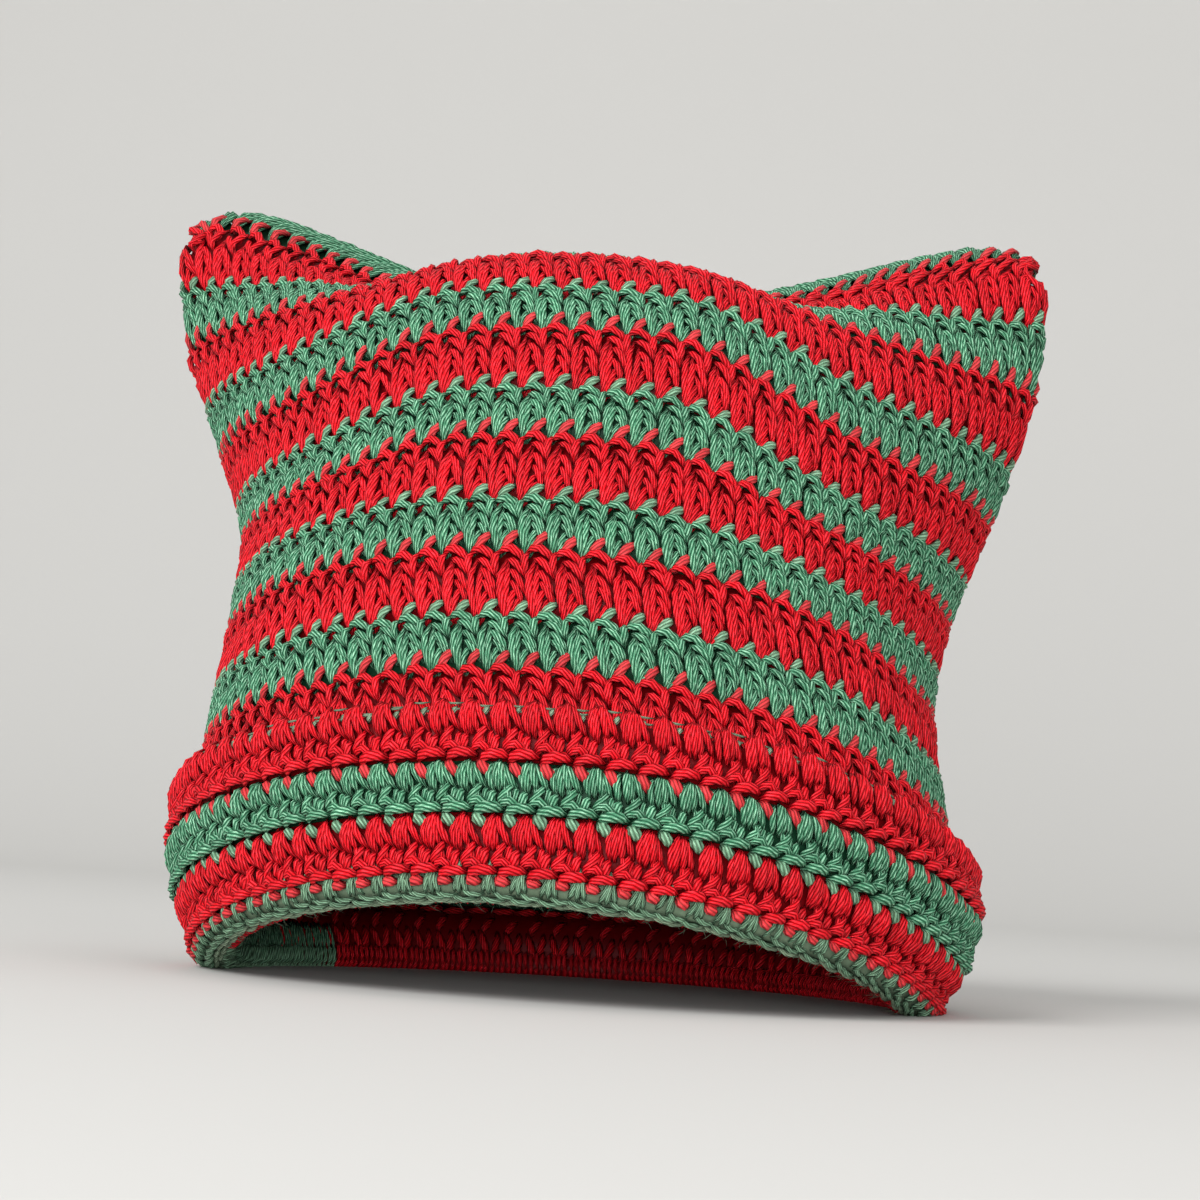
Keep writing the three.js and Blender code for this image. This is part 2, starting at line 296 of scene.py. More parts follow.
def strand(place, rows, half_width, half_thick, rings=5, sides=5, cells=stitches, pale=0.0, wander=1.0):
    """The same short length of yarn in every cell of a round, or in the cells listed: an oval ring carried
    along the rows' curve, narrowed towards both ends, square to the path and flat against the fabric. Its
    underside and its ends are marked for painted shade, where little light comes."""
    cells = np.arange(cells) if isinstance(cells, int) else np.array(cells)
    count = len(cells)
    path = smooth_path(rows, rings)
    nudge = random.normal(0, 1, (count, 1, 3)) * cell_wander
    swell = 1 + random.normal(0, cell_swell, (count, 1, 1, 1))
    cell = cells[:, None, None] * (1, 0, 0) + path + nudge * wander
    centre, outward = place(cell[..., 0], cell[..., 1], cell[..., 2])
    tangent = unit(np.gradient(centre, axis=1))
    side = unit(np.cross(tangent, outward))
    lift = np.cross(side, tangent)
    t = np.linspace(-1, 1, rings)[None, :, None, None]
    taper = (1 - end_narrowing * np.abs(t) ** 3) * swell
    turn = (np.arange(sides) / sides + 0.25) * 2 * math.pi
    ring = (
        side[:, :, None] * np.cos(turn)[:, None] * half_width
        + lift[:, :, None] * np.sin(turn)[:, None] * half_thick
    )
    points = centre[:, :, None] + ring * taper
    # painted shade: the underside and the ends of the strand are marked for the dark shade colour
    hidden = (0.8 - np.sin(turn))[None, :] * under_shade + end_shade * np.abs(t[0, :, 0]) ** 3

    i, j = np.meshgrid(np.arange(rings - 1), np.arange(sides), indexing="ij")
    wall = np.stack([
        i * sides + j, (i + 1) * sides + j, (i + 1) * sides + (j + 1) % sides, i * sides + (j + 1) % sides,
    ], axis=-1).reshape(-1, 4)
    first = np.arange(count)[:, None, None] * rings * sides
    start = np.arange(sides)
    stop = (rings - 1) * sides + start[::-1]
    length = np.cumsum(np.concatenate([
        np.zeros((count, 1)), np.linalg.norm(np.diff(centre, axis=1), axis=-1),
    ], axis=1), axis=1) + random.uniform(0, ply_start_spread, (count, 1))
    wall_u = np.stack([length[:, i], length[:, i + 1], length[:, i + 1], length[:, i]], axis=-1)
    wall_v = np.broadcast_to(np.stack([j, j, j + 1, j + 1], axis=-1) / sides, wall_u.shape)
    cap_v = np.broadcast_to(start / sides, (count, sides))
    return {
        "points": points.reshape(-1, 3),
        "faces": [
            (first + wall).reshape(-1, 4),
            (first[:, 0] + start).reshape(-1, sides),
            (first[:, 0] + stop).reshape(-1, sides),
        ],
        "uv": [
            np.stack([wall_u, wall_v], axis=-1).reshape(-1, 2),
            np.stack([np.broadcast_to(length[:, :1], cap_v.shape), cap_v], axis=-1).reshape(-1, 2),
            np.stack([np.broadcast_to(length[:, -1:], cap_v.shape), cap_v[:, ::-1]], axis=-1).reshape(-1, 2),
        ],
        "tint": np.repeat(random.normal(0, 1, count), rings * sides),
        "pale": np.full(count * rings * sides, pale),
        "painted_shade": np.tile(np.clip(hidden, 0, 1).ravel(), count),
    }


def backing(outline_at, painted_shade=0.3, pale=0.0, columns=176):
    """A closed ring behind the strands: the same outline at every column, joined column to column, and one
    share of painted shade and of the pale colour all over."""
    outline = outline_at(np.arange(columns)[:, None] / columns)
    count = outline.shape[1]
    i, j = np.meshgrid(np.arange(columns), np.arange(count), indexing="ij")
    after = (i + 1) % columns
    faces = np.stack([
        i * count + j, i * count + (j + 1) % count, after * count + (j + 1) % count, after * count + j,
    ], axis=-1).reshape(-1, 4)
    return {
        "points": outline.reshape(-1, 3),
        "faces": [faces],
        "uv": [np.zeros((faces.size, 2))],
        "tint": np.zeros(columns * count),
        "pale": np.full(columns * count, pale),
        "painted_shade": np.full(columns * count, painted_shade),
    }


def piece(name, parts, material, nodes):
    """One mesh object from parts in millimetres, with its yarn direction as UV and its looks as attributes.
    It is lifted clear of the surface below, rides on the frame and takes the place of the nodes."""
    points = np.concatenate([part["points"] for part in parts])
    firsts = np.cumsum([0] + [len(part["points"]) for part in parts])
    faces = [face + first for part, first in zip(parts, firsts) for face in part["faces"]]
    corners = np.concatenate([face.ravel() for face in faces])
    sizes = np.concatenate([np.full(len(face), face.shape[1]) for face in faces])
    points = points * millimetre + origin
    points[:, 2] = np.maximum(points[:, 2], 0)

    mesh = bpy.data.meshes.new(name)
    mesh.vertices.add(len(points))
    mesh.vertices.foreach_set("co", points.ravel())
    mesh.loops.add(len(corners))
    mesh.loops.foreach_set("vertex_index", corners)
    mesh.polygons.add(len(sizes))
    mesh.polygons.foreach_set("loop_start", np.cumsum(sizes) - sizes)
    mesh.update(calc_edges=True)
    mesh.shade_smooth()
    uv = np.concatenate([item for part in parts for item in part["uv"]])
    mesh.uv_layers.new(name="yarn").uv.foreach_set("vector", uv.ravel())
    for look in ("tint", "pale", "painted_shade"):
        values = np.concatenate([part[look] for part in parts])
        mesh.attributes.new(look, "FLOAT", "POINT").data.foreach_set("value", values)
    mesh.materials.append(material)
    mesh.validate()

    obj = bpy.data.objects.new(name, mesh)
    bpy.context.scene.collection.objects.link(obj)
    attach(obj, "root")
    if nodes:
        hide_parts(*nodes)
    return obj


def linear(code):
    """A colour code's red, green and blue in linear light, with full alpha."""
    shares = [int(code[i:i + 2], 16) / 255 for i in (1, 3, 5)]
    return tuple(c / 12.92 if c <= 0.04045 else ((c + 0.055) / 1.055) ** 2.4 for c in shares) + (1.0,)


def add_node(tree, kind, settings=None, values=None, links=None):
    """Adds one shader node, sets its options and socket values, and links its inputs."""
    item = tree.nodes.new(kind)
    for key, value in (settings or {}).items():
        setattr(item, key, value)
    for key, value in (values or {}).items():
        item.inputs[key].default_value = value
    for key, source in (links or {}).items():
        tree.links.new(source, item.inputs[key])
    return item


ply_count = 6
ply_length = 15.0
# painted shade in the grooves between the plies reaches up to this share of a ply's height
groove_shade_share = 0.6
# painted highlight on the ply crests: it rises between these crest heights up to this share of the light
# crest colour
highlight_from = 0.34
highlight_to = 0.62
highlight_share = 0.8
fibre_stretch = (0.45, 22.0, 1.0)
fibre_relief = 0.45
patch_scale = 240.0
patch_share = 0.6
tint_share = 0.07
darkest_share = 0.70
ply_relief = 0.0004


def yarn_material(name, colour, groove_shade_colour, crest_highlight_colour, pale_colour, painted_shade_colour):
    """Softly spun yarn: thin plies that wind slowly round the strand with painted shade in the grooves
    between them, painted highlights on their crests, a little unevenness from stitch to stitch, and painted
    shade on the parts that lie hidden from the light."""
    material = bpy.data.materials.new(name)
    material.use_nodes = True
    tree = material.node_tree
    shader = tree.nodes["Principled BSDF"]
    uv = add_node(tree, "ShaderNodeUVMap", {"uv_map": "yarn"})
    split = add_node(tree, "ShaderNodeSeparateXYZ", links={0: uv.outputs[0]})
    wound = add_node(
        tree, "ShaderNodeMath", {"operation": "MULTIPLY_ADD"},
        {1: math.pi * ply_count / ply_length, 2: 0.0}, {0: split.outputs[0]},
    )
    phase = add_node(
        tree, "ShaderNodeMath", {"operation": "MULTIPLY_ADD"},
        {1: math.pi * ply_count}, {0: split.outputs[1], 2: wound.outputs[0]},
    )
    wave = add_node(tree, "ShaderNodeMath", {"operation": "SINE"}, links={0: phase.outputs[0]})
    ply = add_node(tree, "ShaderNodeMath", {"operation": "ABSOLUTE"}, links={0: wave.outputs[0]})

    fibre_place = add_node(
        tree, "ShaderNodeVectorMath", {"operation": "MULTIPLY"}, {1: fibre_stretch}, {0: uv.outputs[0]},
    )
    fibre = add_node(
        tree, "ShaderNodeTexNoise", {"noise_dimensions": "3D"}, {"Scale": 1.0, "Detail": 3.0},
        {"Vector": fibre_place.outputs[0]},
    )
    place = add_node(tree, "ShaderNodeTexCoord")
    patch = add_node(
        tree, "ShaderNodeTexNoise", {"noise_dimensions": "3D"}, {"Scale": patch_scale, "Detail": 2.0},
        {"Vector": place.outputs["Object"]},
    )
    tint = add_node(tree, "ShaderNodeAttribute", {"attribute_name": "tint"})
    pale = add_node(tree, "ShaderNodeAttribute", {"attribute_name": "pale"})
    painted_shade = add_node(tree, "ShaderNodeAttribute", {"attribute_name": "painted_shade"})

    crest_height = add_node(
        tree, "ShaderNodeMath", {"operation": "MULTIPLY"},
        links={0: ply.outputs[0], 1: fibre.outputs["Fac"]},
    )
    # painted shade: the colour darkens towards the groove colour in the grooves between the plies, where less
    # light comes
    lit = add_node(
        tree, "ShaderNodeMapRange", {"interpolation_type": "SMOOTHSTEP"},
        {"From Min": 0.0, "From Max": groove_shade_share, "To Min": 0.0, "To Max": 1.0}, {"Value": ply.outputs[0]},
    )
    # painted highlight: where the ply crests and fibres stand highest, the colour is mixed towards the light
    # crest colour
    painted_highlight = add_node(
        tree, "ShaderNodeMapRange", {"interpolation_type": "SMOOTHSTEP"},
        {"From Min": highlight_from, "From Max": highlight_to, "To Min": 0.0, "To Max": highlight_share},
        {"Value": crest_height.outputs[0]},
    )
    groove_shaded_colour = add_node(
        tree, "ShaderNodeMix", {"data_type": "RGBA"}, {6: linear(groove_shade_colour), 7: linear(colour)},
        {0: lit.outputs[0]},
    )
    highlighted = add_node(
        tree, "ShaderNodeMix", {"data_type": "RGBA"}, {7: linear(crest_highlight_colour)},
        {0: painted_highlight.outputs[0], 6: groove_shaded_colour.outputs[2]},
    )
    faded = add_node(
        tree, "ShaderNodeMix", {"data_type": "RGBA"}, {7: linear(pale_colour)},
        {0: pale.outputs["Fac"], 6: highlighted.outputs[2]},
    )
    uneven = add_node(
        tree, "ShaderNodeMath", {"operation": "MULTIPLY_ADD"}, {1: tint_share, 2: darkest_share},
        {0: tint.outputs["Fac"]},
    )
    strength = add_node(
        tree, "ShaderNodeMath", {"operation": "MULTIPLY_ADD"}, {1: patch_share},
        {0: patch.outputs["Fac"], 2: uneven.outputs[0]},
    )
    uneven_colour = add_node(
        tree, "ShaderNodeHueSaturation", links={"Color": faded.outputs[2], "Value": strength.outputs[0]},
    )
    # painted shade: the colour is mixed towards the dark shade colour by the share in the attribute
    shaded = add_node(
        tree, "ShaderNodeMix", {"data_type": "RGBA"}, {7: linear(painted_shade_colour)},
        {0: painted_shade.outputs["Fac"], 6: uneven_colour.outputs[0]},
    )

    relief = add_node(
        tree, "ShaderNodeMath", {"operation": "MULTIPLY_ADD"}, {1: fibre_relief},
        {0: fibre.outputs["Fac"], 2: ply.outputs[0]},
    )
    bump = add_node(
        tree, "ShaderNodeBump", values={"Strength": 0.9, "Distance": ply_relief},
        links={"Height": relief.outputs[0]},
    )
    tree.links.new(shaded.outputs[2], shader.inputs["Base Color"])
    tree.links.new(bump.outputs[0], shader.inputs["Normal"])
    shader.inputs["Roughness"].default_value = 0.52
    shader.inputs["Specular IOR Level"].default_value = 0.16
    return material


# Red cotton: strongly saturated and slightly cool, with a soft satin light on the plies; after the yarn
# colour come the painted shade in the ply grooves, the painted highlight on the crests, the pale fibres and
# the painted shade of hidden parts
red_yarn = yarn_material("red_cotton_yarn", "#df0517", "#780007", "#ff404d", "#c2605f", "#3d0004")
# Green cotton: a muted mid green with a painted mint highlight on the crests and painted shade in the grooves
# and hidden parts, a little greyer where the strands stand proud
green_yarn = yarn_material("green_cotton_yarn", "#478a66", "#15402a", "#aee3c0", "#9aaf92", "#0c2616")
yarns = ((red_yarn, "red_yarn"), (green_yarn, "green_yarn"))

# Strands of one stitch: rows are (across, up, out). across is a share of the stitch's width and up of the
# round's height. out is the yarn's middle above the hollow, in millimetres.
right_side = {
    "left_leg": [
        (0.30, 0.85, 4.7), (0.16, 0.60, 5.5), (0.23, 0.32, 5.8), (0.39, 0.08, 5.2), (0.43, -0.13, 3.2),
    ],
    "left_ply": [
        (0.38, 0.79, 4.7), (0.40, 0.55, 5.5), (0.39, 0.31, 5.6), (0.45, 0.08, 4.9), (0.48, -0.13, 3.0),
    ],
    "right_leg": [(0.74, 0.44, 3.4), (0.63, 0.28, 5.0), (0.55, 0.08, 4.8), (0.52, -0.13, 3.0)],
    "right_ply": [(0.90, 0.34, 3.0), (0.80, 0.20, 4.4), (0.68, 0.05, 4.4), (0.58, -0.12, 2.8)],
    "low_wrap": [(0.38, 0.69, 4.6), (0.62, 0.62, 5.6), (0.86, 0.48, 5.7), (1.10, 0.30, 4.3)],
    "high_wrap": [(0.24, 0.86, 4.6), (0.50, 0.82, 5.6), (0.78, 0.72, 5.8), (1.04, 0.58, 4.5)],
    "short_wrap": [(0.44, 0.54, 4.2), (0.66, 0.47, 5.0), (0.90, 0.32, 5.3), (1.08, 0.14, 3.6)],
    "top_arch": [(-0.06, 0.94, 4.3), (0.22, 1.00, 5.5), (0.60, 0.95, 5.9), (1.00, 0.80, 4.4)],
    "lens": [(0.98, 1.00, 4.2), (0.92, 0.86, 6.1), (0.94, 0.73, 6.0), (1.01, 0.58, 4.2)],
    "bump": [(0.14, 0.97, 3.8), (0.30, 1.07, 5.6), (0.48, 1.18, 5.7), (0.66, 1.29, 4.2)],
}
half_widths = {
    "left_leg": 1.05, "left_ply": 0.95, "low_wrap": 0.95, "high_wrap": 1.0, "top_arch": 1.15, "lens": 1.05,
    "bump": 1.2,
}
short_strands = ("right_ply", "lens")
covered_strands = ("low_wrap", "high_wrap", "top_arch", "left_leg")
usual_half_width = 0.9
half_thick = 0.95
bump_pale = 0.35
inner_half_width = 1.15
inner_half_thick = 0.8
backing_inner = 1.6
backing_outer = 3.5


def crown_place(number):
    """Where a stitch's across, up and out lie on a crown round: its share of the way round gives the angle,
    and out goes along the outward direction."""
    low, height = crown_span(number)
    shift = (crown_rounds - number) * stitch_shift

    def place(across, up, out):
        level = low + up * height
        angle = angle_at((across + shift) / stitches, level)
        point, _, outward = fabric(angle, level)
        return point + outward * out[..., None], outward

    return place


def inner_place(place):
    """The same round seen from inside: up is turned over and out is measured from the outer face inwards."""
    def inside(across, up, out):
        point, outward = place(across, 1 - up, fabric_thickness - out)
        return point, -outward

    return inside


inner_side = {
    "left_arch": [(0.05, 0.50, 3.4), (0.12, 0.80, 4.8), (0.34, 1.02, 3.4)],
    "right_arch": [(0.74, 0.50, 3.4), (0.62, 0.80, 4.8), (0.40, 1.02, 3.4)],
    "hook": [(0.58, 0.56, 3.2), (0.52, 0.40, 4.4), (0.14, 0.22, 3.2)],
    "ridge": [(0.30, 0.06, 3.4), (0.80, 0.12, 5.0), (1.34, 0.10, 3.4)],
}


def wall_backing(low, high, inner, outer):
    """The outline of a round's backing: up its inner face and down its outer face."""
    def outline_at(share):
        levels = np.array([low, (low + high) / 2, high, high, (low + high) / 2, low])
        outs = np.array([inner, inner, inner, outer, outer, outer])
        levels = np.broadcast_to(levels, (len(share), 6))
        point, _, outward = fabric(angle_at(np.broadcast_to(share, levels.shape), levels), levels)
        return point + outward * outs[:, None]

    return outline_at


for number in range(2, crown_rounds):
    place = crown_place(number)
    low, height = crown_span(number)
    top = low + height - half_clearance
    parts = [backing(wall_backing(low + half_clearance, top, backing_inner, backing_outer))]
    for name, rows in right_side.items():
        if number < crown_rounds - 1 or name in covered_strands:
            half_width = half_widths.get(name, usual_half_width)
            rings = 4 if name in short_strands else 5
            pale = bump_pale if name == "bump" else 0.0
            parts.append(strand(place, rows, half_width, half_thick, rings=rings, pale=pale))
    for rows in inner_side.values():
        parts.append(strand(inner_place(place), rows, inner_half_width, inner_half_thick, rings=4, sides=4))
    yarn, slot = yarns[number % 2]
    name = f"crown_round_{number:02d}"
    piece(f"{name}_yarn", parts, yarn, [name])


# Cap, round 1
# The first round of the crown, in green, sewn shut over the seam from ear to ear, so its loops lie over the
# edge like scallops. It is worked like the other rounds, and its front and back are joined by the seam.

seam_cells = stitches // 2
seam_blend = 0.16
seam_rise = 3.0
cap_rows = 15
cap_end = 0.25
cap_edge = 0.03
cap_inner = 1.8
cap_outer = 3.0
half_turn_shares = np.array([np.interp(math.pi, row, np.linspace(0, 1, len(row))) for row in angle_table])


def seam_place(across, up, out):
    """Over the seam: up runs from 0 at the front's lower edge to 1 at the seam and 2 at the back's lower
    edge, with front and back blended across a ridge. The front's share of the way round gives the angle,
    and the back has the same angle on its own side."""
    low, height = crown_span(1)
    front_share = 1 - across / seam_cells * (1 - half_turn_shares[-1])
    angle = 2 * math.pi - angle_at(front_share, np.full_like(across, 0.999))
    front_up = low + np.minimum(up, 1) * height
    back_up = low + np.minimum(2 - up, 1) * height
    front, front_upward, front_out = fabric(-angle, front_up)
    back, back_upward, back_out = fabric(angle, back_up)
    t = np.clip((up - 1) / seam_blend / 2 + 0.5, 0, 1)[..., None]
    t = t * t * (3 - 2 * t)
    ridge = np.maximum(1 - ((up - 1) / seam_blend / 2) ** 2, 0)[..., None]
    rise = unit(front_upward + back_upward)
    outward = unit(front_out * (1 - t) + back_out * t + rise * ridge * 2)
    middle = (front + front_out * out[..., None]) * (1 - t) + (back + back_out * out[..., None]) * t
    return middle + rise * ridge * seam_rise, outward


seam_strands = {
    "left_fan": [
        (0.44, 0.02, 4.2), (0.16, 0.40, 5.0), (0.08, 0.90, 4.6), (0.10, 1.10, 4.6), (0.30, 1.95, 4.2),
    ],
    "left_rib": [
        (0.47, 0.00, 4.4), (0.36, 0.45, 5.6), (0.32, 0.90, 5.0), (0.34, 1.10, 5.0), (0.46, 1.95, 4.2),
    ],
    "right_rib": [
        (0.51, 0.00, 4.4), (0.60, 0.45, 5.6), (0.62, 0.90, 5.0), (0.60, 1.10, 5.0), (0.54, 1.95, 4.2),
    ],
    "right_fan": [
        (0.55, 0.02, 4.2), (0.80, 0.40, 5.0), (0.88, 0.90, 4.6), (0.86, 1.10, 4.6), (0.66, 1.95, 4.2),
    ],
}


def cap_backing():
    """The cap's backing: rows up the front, across the seam and down the back, as a shell with two faces."""
    columns = 2 * seam_cells
    rows = cap_rows
    across = np.linspace(cap_end, seam_cells - cap_end, columns)[:, None]
    up = np.linspace(cap_edge, 2 - cap_edge, rows)[None, :]
    across, up = np.broadcast_arrays(across, up)
    outer, _ = seam_place(across, up, np.full(up.shape, cap_outer))
    inner, _ = seam_place(across, up, np.full(up.shape, cap_inner))
    points = np.concatenate([outer.reshape(-1, 3), inner.reshape(-1, 3)])
    index = np.arange(columns * rows).reshape(columns, rows)
    under = index + columns * rows
    outside = np.stack([index[:-1, :-1], index[:-1, 1:], index[1:, 1:], index[1:, :-1]], axis=-1)
    inside = np.stack([under[:-1, :-1], under[1:, :-1], under[1:, 1:], under[:-1, 1:]], axis=-1)
    edge = np.concatenate([index[0, :], index[1:, -1], index[-1, -2::-1], index[-2:0:-1, 0]])
    next_edge = np.roll(edge, -1)
    rim = np.stack([edge, edge + columns * rows, next_edge + columns * rows, next_edge], axis=-1)
    faces = np.concatenate([outside.reshape(-1, 4), inside.reshape(-1, 4), rim])
    return {
        "points": points,
        "faces": [faces],
        "uv": [np.zeros((faces.size, 2))],
        "tint": np.zeros(len(points)),
        "pale": np.zeros(len(points)),
        # painted shade: the whole cap backing takes the dark shade colour
        "painted_shade": np.ones(len(points)),
    }


parts = [cap_backing()]
for rows in seam_strands.values():
    parts.append(strand(seam_place, rows, 1.0, 0.95, rings=10, cells=seam_cells, wander=0.5))
piece("crown_round_01_yarn", parts, green_yarn, ["crown_round_01"])


# Crown round 14
# The last red round before the fold. It reaches down inside to the lowest line of the fold in thin dense
# ribs, and its outside is hidden behind the cuff.

fold_run = 15.0 / hat_height
ribs_in_cell = 4
left_corner_cells = range(33, 45)
rib_bow = 0.10
rib_half_width = 0.62
rib_half_thick = 0.85
fold_backing_steps = 8
fold_backing_inner = 1.8
fold_backing_outer = 3.8
hidden_backing_outer = 3.0
hidden_half_width = 0.95
hidden_half_thick = 0.9


def fold_place(across, up, out):
    """Round the fold: up runs from 0 at the crown's side to 1 at the cuff's side along a flattened half
    circle, and straight up along the crown or the cuff beyond them."""
    beyond = np.maximum(np.maximum(-up, up - 1), 0) * fold_run
    turn = np.clip(up, 0, 1) * math.pi
    angle = angle_at(across / stitches, beyond)
    point, upward, outward = fabric(angle, beyond)
    radius = (fold_radius - fabric_thickness + out)[..., None]
    cosine = np.cos(turn)[..., None]
    sine = np.sin(turn)[..., None]
    place = point + outward * (fold_radius - radius * cosine) - upward * radius * sine * fold_flatness
    return place, unit(-outward * cosine - upward * sine)


def fold_backing(low, high):
    """The outline of a part of the fold's backing: its outer face first and then its inner face."""
    def outline_at(share):
        steps = np.linspace(high, low, fold_backing_steps)
        ups = np.concatenate([steps, steps[::-1]])
        outs = np.repeat([fold_backing_outer, fold_backing_inner], fold_backing_steps)
        across, up, out = np.broadcast_arrays(share * stitches, ups, outs)
        point, _ = fold_place(across, up, out)
        return point

    return outline_at


def ribs(start, stop, cells, pale):
    """Thin ribs side by side round the inner half of the fold, each a short bow from rim to inside."""
    parts = []
    for across in np.arange(ribs_in_cell) / ribs_in_cell:
        rows = [(across, start, 4.2), (across + rib_bow, (start + stop) / 2, 5.2), (across, stop, 4.0)]
        parts.append(strand(
            fold_place, rows, rib_half_width, rib_half_thick, rings=4, sides=4, cells=cells, pale=pale,
            wander=0.8,
        ))
    return parts


low, height = crown_span(crown_rounds)
place = crown_place(crown_rounds)
red_rib_cells = [cell for cell in range(stitches) if cell not in left_corner_cells]
parts = [
    backing(wall_backing(low, low + height - half_clearance, backing_inner, hidden_backing_outer)),
    backing(fold_backing(-0.1, 0.47)),
]
for name in covered_strands:
    parts.append(strand(place, right_side[name], hidden_half_width, hidden_half_thick))
for rows in inner_side.values():
    parts.append(strand(inner_place(place), rows, inner_half_width, inner_half_thick, rings=4, sides=4))
parts += ribs(0.50, 0.10, red_rib_cells, 0.0) + ribs(0.22, -0.20, red_rib_cells, 0.0)
piece("crown_round_14_yarn", parts, red_yarn, ["crown_round_14"])


# Fold, round 15
# The green round at the rim, which turns outwards and up into the cuff. Tufts of three thin strands and a
# fuzzy pale edge show outside, and at the left corner its ribs are rolled further inside.

fold_strands = {
    "left_tuft": [(0.34, 1.26, 3.8), (0.25, 1.02, 4.9), (0.10, 0.78, 4.4)],
    "middle_tuft": [(0.36, 1.30, 4.0), (0.36, 1.02, 5.4), (0.35, 0.76, 4.8)],
    "right_tuft": [(0.38, 1.26, 3.8), (0.47, 1.02, 4.9), (0.62, 0.78, 4.4)],
    "lying": [(0.40, 0.80, 4.0), (0.74, 0.72, 5.0), (1.20, 0.70, 4.0)],
    "low_lying": [(0.00, 0.70, 4.2), (0.36, 0.65, 5.1), (0.84, 0.63, 4.2)],
    "rim": [(-0.10, 0.60, 4.2), (0.40, 0.57, 5.1), (0.94, 0.56, 4.2)],
    "low_rim": [(0.30, 0.53, 4.2), (0.80, 0.51, 5.0), (1.34, 0.51, 4.2)],
}
fuzz_hairs = 6
fuzz_half_width = 0.06
fold_half_thick = 0.75

# painted shade: the fold's backing takes a quarter share of the dark shade colour
parts = [backing(fold_backing(0.51, 1.12), painted_shade=0.25, pale=0.6)]
for name, rows in fold_strands.items():
    pale = 0.9 if "rim" in name else 0.4
    half_width = 0.65 if "rim" in name else 0.8
    parts.append(strand(fold_place, rows, half_width, fold_half_thick, sides=4, pale=pale, wander=1.3))
parts += ribs(0.54, 0.20, left_corner_cells, 0.4) + ribs(0.32, -0.15, left_corner_cells, 0.25)
parts += ribs(-0.02, -0.6, left_corner_cells, 0.1)
for hair in range(fuzz_hairs):
    start = hair / fuzz_hairs
    bend = random.uniform(-0.2, 0.2)
    tip = random.uniform(6.2, 7.4)
    rows = [(start, 0.54, 4.6), (start + bend, 0.50, 5.8), (start + 2 * bend, 0.44, tip)]
    parts.append(strand(
        fold_place, rows, fuzz_half_width, fuzz_half_width, rings=4, sides=3, pale=1.0, wander=5.0,
    ))
piece("fold_round_yarn", parts, green_yarn, ["fold_round"])


# Cuff rounds 16 to 18
# The lower rounds turned up outside the crown, so that they show the wrong side of the stitches: puffy
# arches over dark gaps, hooked strands below them, and a lying braid along the lower edge of each round.

cuff_side = {
    "left_puff": [(0.26, 0.98, 3.6), (0.13, 0.80, 5.2), (0.17, 0.60, 5.2), (0.28, 0.42, 3.8)],
    "middle_puff": [(0.33, 1.01, 3.8), (0.29, 0.82, 6.1), (0.33, 0.60, 5.9), (0.42, 0.40, 4.2)],
    "right_puff": [(0.40, 1.01, 3.8), (0.45, 0.84, 6.1), (0.53, 0.64, 5.9), (0.64, 0.44, 4.0)],
    "outer_puff": [(0.46, 0.98, 3.6), (0.60, 0.84, 5.6), (0.78, 0.66, 5.3), (1.02, 0.48, 3.4)],
    "left_knot": [(0.26, 0.46, 3.4), (0.14, 0.28, 5.0), (0.20, 0.10, 3.6)],
    "hook": [(0.80, 0.58, 3.6), (0.74, 0.42, 5.4), (0.55, 0.30, 5.2), (0.38, 0.14, 3.6)],
    "branch": [(0.54, 0.52, 4.4), (0.66, 0.42, 5.0), (0.72, 0.28, 4.6), (0.74, 0.14, 3.2)],
    "side_lump": [(0.98, 0.52, 2.8), (0.93, 0.36, 4.2), (0.98, 0.18, 3.2)],
    "high_braid": [(0.42, 0.12, 4.0), (0.66, 0.24, 5.6), (0.90, 0.22, 5.6), (1.06, 0.11, 4.0)],
    "braid": [(-0.38, -0.02, 4.0), (-0.12, 0.07, 6.3), (0.26, 0.10, 6.5), (0.62, 0.08, 4.2)],
    "bump": [(-0.40, -0.03, 4.2), (-0.18, -0.13, 5.8), (0.08, -0.27, 4.0)],
}
cuff_half_widths = {"braid": 1.35, "high_braid": 1.15, "bump": 1.45, "left_knot": 1.2, "branch": 0.85}
cuff_shift = 0.1
cuff_backing_inner = 0.8
cuff_backing_outer = 3.4
top_backing_share = 0.78
cuff_bump_pale = 0.3


def cuff_span(step):
    """The lower edge of a cuff round and its height, both as shares of the way up."""
    shares = [round_share(crown_rounds + 2 + i) for i in range(step + 1)]
    return fold_edge + sum(shares[:step]) * cuff_step, shares[step] * cuff_step


def cuff_place(step):
    """Where a stitch's across, up and out lie on a cuff round, measured up from the fold, over the crown."""
    low, height = cuff_span(step)

    def place(across, up, out):
        level = low + up * height
        angle = angle_at((across + step * cuff_shift) / stitches, level)
        point, _, outward = fabric(angle, level)
        return point + outward * (cuff_inner + out[..., None]), outward

    return place


for step in range(3):
    place = cuff_place(step)
    low, height = cuff_span(step)
    top = low + height * (top_backing_share if step == 2 else 1.0)
    faces = (cuff_inner + cuff_backing_inner, cuff_inner + cuff_backing_outer)
    parts = [backing(wall_backing(low + half_clearance, top, *faces))]
    for name, rows in cuff_side.items():
        rings = 4 if len(rows) == 3 else 5
        pale = cuff_bump_pale if name == "bump" else 0.0
        parts.append(strand(place, rows, cuff_half_widths.get(name, 1.0), 1.0, rings=rings, pale=pale))
    yarn, slot = yarns[(crown_rounds + 2 + step) % 2]
    name = f"cuff_round_{step + 1:02d}"
    piece(f"{name}_yarn", parts, yarn, [name])


# Cuff edge threads
# Thin pale threads and small grey-green loops of soft green yarn, which show between the puffs along the
# cuff's upper edge, worked in under the red stitches.

